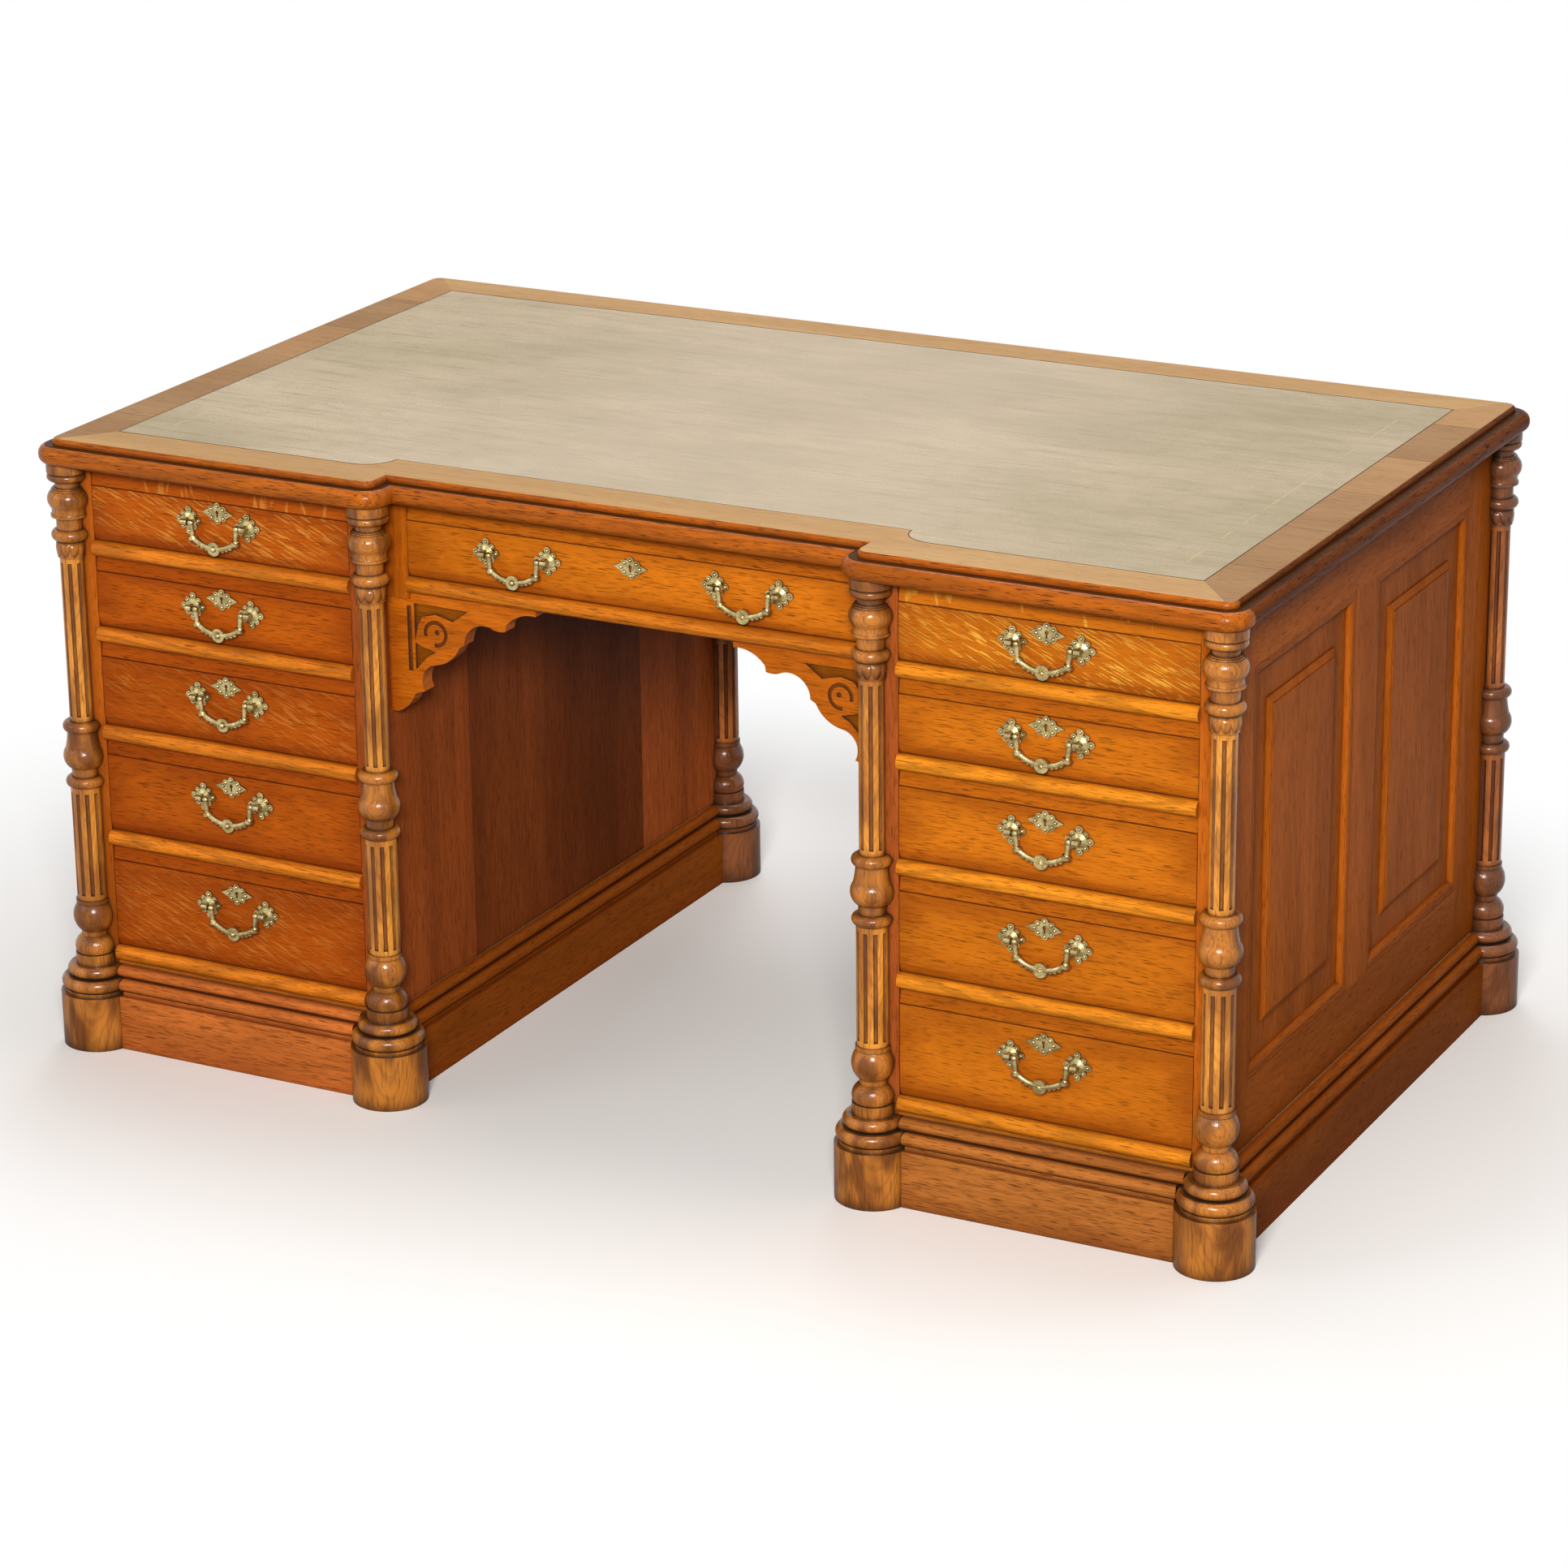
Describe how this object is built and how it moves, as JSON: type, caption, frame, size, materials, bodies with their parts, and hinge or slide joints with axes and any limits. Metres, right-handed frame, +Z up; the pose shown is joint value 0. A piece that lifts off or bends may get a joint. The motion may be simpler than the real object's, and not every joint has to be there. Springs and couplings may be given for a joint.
{
  "type": "partners desk",
  "caption": "Oak twin-pedestal desk with turned fluted posts, a recessed kneehole frieze, drawers with brass drop handles, panelled ends and a leather writing surface.",
  "frame": {"origin": "on the floor, in the middle of the desk's outer box", "axes": "+X along the front to the sitter's right, +Y from the drawer fronts to the back, +Z up"},
  "size_m": [1.609, 0.9648, 0.786],
  "materials": {
    "oak": "polished",
    "oak_top": "polished",
    "oak_lining": "satin",
    "brass": "aged",
    "leather": "worn"
  },
  "bodies": {
    "carcass": {"top_board": "oak_top", "leather_inlay": "leather", "frieze_frame": "oak", "door_hinges": "brass", "end_frame_right": "oak", "end_frame_left": "oak", "end_panels_right": "oak", "end_panels_left": "oak", "knee_side_right": "oak", "knee_side_left": "oak", "partition_right": "oak_lining", "partition_left": "oak_lining", "floor_board_right": "oak_lining", "floor_board_left": "oak_lining", "plinth_right": "oak", "plinth_left": "oak", "posts_right": "oak", "posts_left": "oak", "drawer_rails_right": "oak", "drawer_rails_left": "oak", "corbel_right": "oak", "corbel_left": "oak"},
    "drawer_right_1": {"drawer_right_1": "oak", "fittings_right_1": "brass"},
    "bail_right_1": {"bail_right_1": "brass"},
    "drawer_right_2": {"drawer_right_2": "oak", "fittings_right_2": "brass"},
    "bail_right_2": {"bail_right_2": "brass"},
    "drawer_right_3": {"drawer_right_3": "oak", "fittings_right_3": "brass"},
    "bail_right_3": {"bail_right_3": "brass"},
    "drawer_right_4": {"drawer_right_4": "oak", "fittings_right_4": "brass"},
    "bail_right_4": {"bail_right_4": "brass"},
    "drawer_right_5": {"drawer_right_5": "oak", "fittings_right_5": "brass"},
    "bail_right_5": {"bail_right_5": "brass"},
    "drawer_left_1": {"drawer_left_1": "oak", "fittings_left_1": "brass"},
    "bail_left_1": {"bail_left_1": "brass"},
    "drawer_left_2": {"drawer_left_2": "oak", "fittings_left_2": "brass"},
    "bail_left_2": {"bail_left_2": "brass"},
    "drawer_left_3": {"drawer_left_3": "oak", "fittings_left_3": "brass"},
    "bail_left_3": {"bail_left_3": "brass"},
    "drawer_left_4": {"drawer_left_4": "oak", "fittings_left_4": "brass"},
    "bail_left_4": {"bail_left_4": "brass"},
    "drawer_left_5": {"drawer_left_5": "oak", "fittings_left_5": "brass"},
    "bail_left_5": {"bail_left_5": "brass"},
    "drawer_centre": {"drawer_centre": "oak", "fittings_centre": "brass"},
    "bail_centre_right": {"bail_centre_right": "brass"},
    "bail_centre_left": {"bail_centre_left": "brass"},
    "door_right": {"door_right": "oak", "door_fittings_right": "brass"},
    "door_left": {"door_left": "oak", "door_fittings_left": "brass"}
  },
  "joints": [
    {"name": "drawer_right_1_slide", "type": "slide", "parent": "carcass", "child": "drawer_right_1", "axis": [0, -1, 0], "range_m": [0, 0.3]},
    {"name": "bail_right_1_swing", "type": "hinge", "parent": "drawer_right_1", "child": "bail_right_1", "pos_m": [0.544, -0.442, 0.702], "axis": [-1, 0, 0], "range_deg": [0, 95]},
    {"name": "drawer_right_2_slide", "type": "slide", "parent": "carcass", "child": "drawer_right_2", "axis": [0, -1, 0], "range_m": [0, 0.3]},
    {"name": "bail_right_2_swing", "type": "hinge", "parent": "drawer_right_2", "child": "bail_right_2", "pos_m": [0.544, -0.442, 0.59362], "axis": [-1, 0, 0], "range_deg": [0, 95]},
    {"name": "drawer_right_3_slide", "type": "slide", "parent": "carcass", "child": "drawer_right_3", "axis": [0, -1, 0], "range_m": [0, 0.3]},
    {"name": "bail_right_3_swing", "type": "hinge", "parent": "drawer_right_3", "child": "bail_right_3", "pos_m": [0.544, -0.442, 0.47975], "axis": [-1, 0, 0], "range_deg": [0, 95]},
    {"name": "drawer_right_4_slide", "type": "slide", "parent": "carcass", "child": "drawer_right_4", "axis": [0, -1, 0], "range_m": [0, 0.3]},
    {"name": "bail_right_4_swing", "type": "hinge", "parent": "drawer_right_4", "child": "bail_right_4", "pos_m": [0.544, -0.442, 0.35], "axis": [-1, 0, 0], "range_deg": [0, 95]},
    {"name": "drawer_right_5_slide", "type": "slide", "parent": "carcass", "child": "drawer_right_5", "axis": [0, -1, 0], "range_m": [0, 0.3]},
    {"name": "bail_right_5_swing", "type": "hinge", "parent": "drawer_right_5", "child": "bail_right_5", "pos_m": [0.544, -0.442, 0.20825], "axis": [-1, 0, 0], "range_deg": [0, 95]},
    {"name": "drawer_left_1_slide", "type": "slide", "parent": "carcass", "child": "drawer_left_1", "axis": [0, -1, 0], "range_m": [0, 0.3]},
    {"name": "bail_left_1_swing", "type": "hinge", "parent": "drawer_left_1", "child": "bail_left_1", "pos_m": [-0.544, -0.442, 0.702], "axis": [-1, 0, 0], "range_deg": [0, 95]},
    {"name": "drawer_left_2_slide", "type": "slide", "parent": "carcass", "child": "drawer_left_2", "axis": [0, -1, 0], "range_m": [0, 0.3]},
    {"name": "bail_left_2_swing", "type": "hinge", "parent": "drawer_left_2", "child": "bail_left_2", "pos_m": [-0.544, -0.442, 0.59362], "axis": [-1, 0, 0], "range_deg": [0, 95]},
    {"name": "drawer_left_3_slide", "type": "slide", "parent": "carcass", "child": "drawer_left_3", "axis": [0, -1, 0], "range_m": [0, 0.3]},
    {"name": "bail_left_3_swing", "type": "hinge", "parent": "drawer_left_3", "child": "bail_left_3", "pos_m": [-0.544, -0.442, 0.47975], "axis": [-1, 0, 0], "range_deg": [0, 95]},
    {"name": "drawer_left_4_slide", "type": "slide", "parent": "carcass", "child": "drawer_left_4", "axis": [0, -1, 0], "range_m": [0, 0.3]},
    {"name": "bail_left_4_swing", "type": "hinge", "parent": "drawer_left_4", "child": "bail_left_4", "pos_m": [-0.544, -0.442, 0.35], "axis": [-1, 0, 0], "range_deg": [0, 95]},
    {"name": "drawer_left_5_slide", "type": "slide", "parent": "carcass", "child": "drawer_left_5", "axis": [0, -1, 0], "range_m": [0, 0.3]},
    {"name": "bail_left_5_swing", "type": "hinge", "parent": "drawer_left_5", "child": "bail_left_5", "pos_m": [-0.544, -0.442, 0.20825], "axis": [-1, 0, 0], "range_deg": [0, 95]},
    {"name": "drawer_centre_slide", "type": "slide", "parent": "carcass", "child": "drawer_centre", "axis": [0, -1, 0], "range_m": [0, 0.36]},
    {"name": "bail_centre_right_swing", "type": "hinge", "parent": "drawer_centre", "child": "bail_centre_right", "pos_m": [0.152, -0.405, 0.702], "axis": [-1, 0, 0], "range_deg": [0, 95]},
    {"name": "bail_centre_left_swing", "type": "hinge", "parent": "drawer_centre", "child": "bail_centre_left", "pos_m": [-0.152, -0.405, 0.702], "axis": [-1, 0, 0], "range_deg": [0, 95]},
    {"name": "door_right_swing", "type": "hinge", "parent": "carcass", "child": "door_right", "pos_m": [0.7258, 0.435, 0.4], "axis": [0, 0, -1], "range_deg": [0, 100]},
    {"name": "door_left_swing", "type": "hinge", "parent": "carcass", "child": "door_left", "pos_m": [-0.7258, 0.435, 0.4], "axis": [0, 0, 1], "range_deg": [0, 100]}
  ]
}
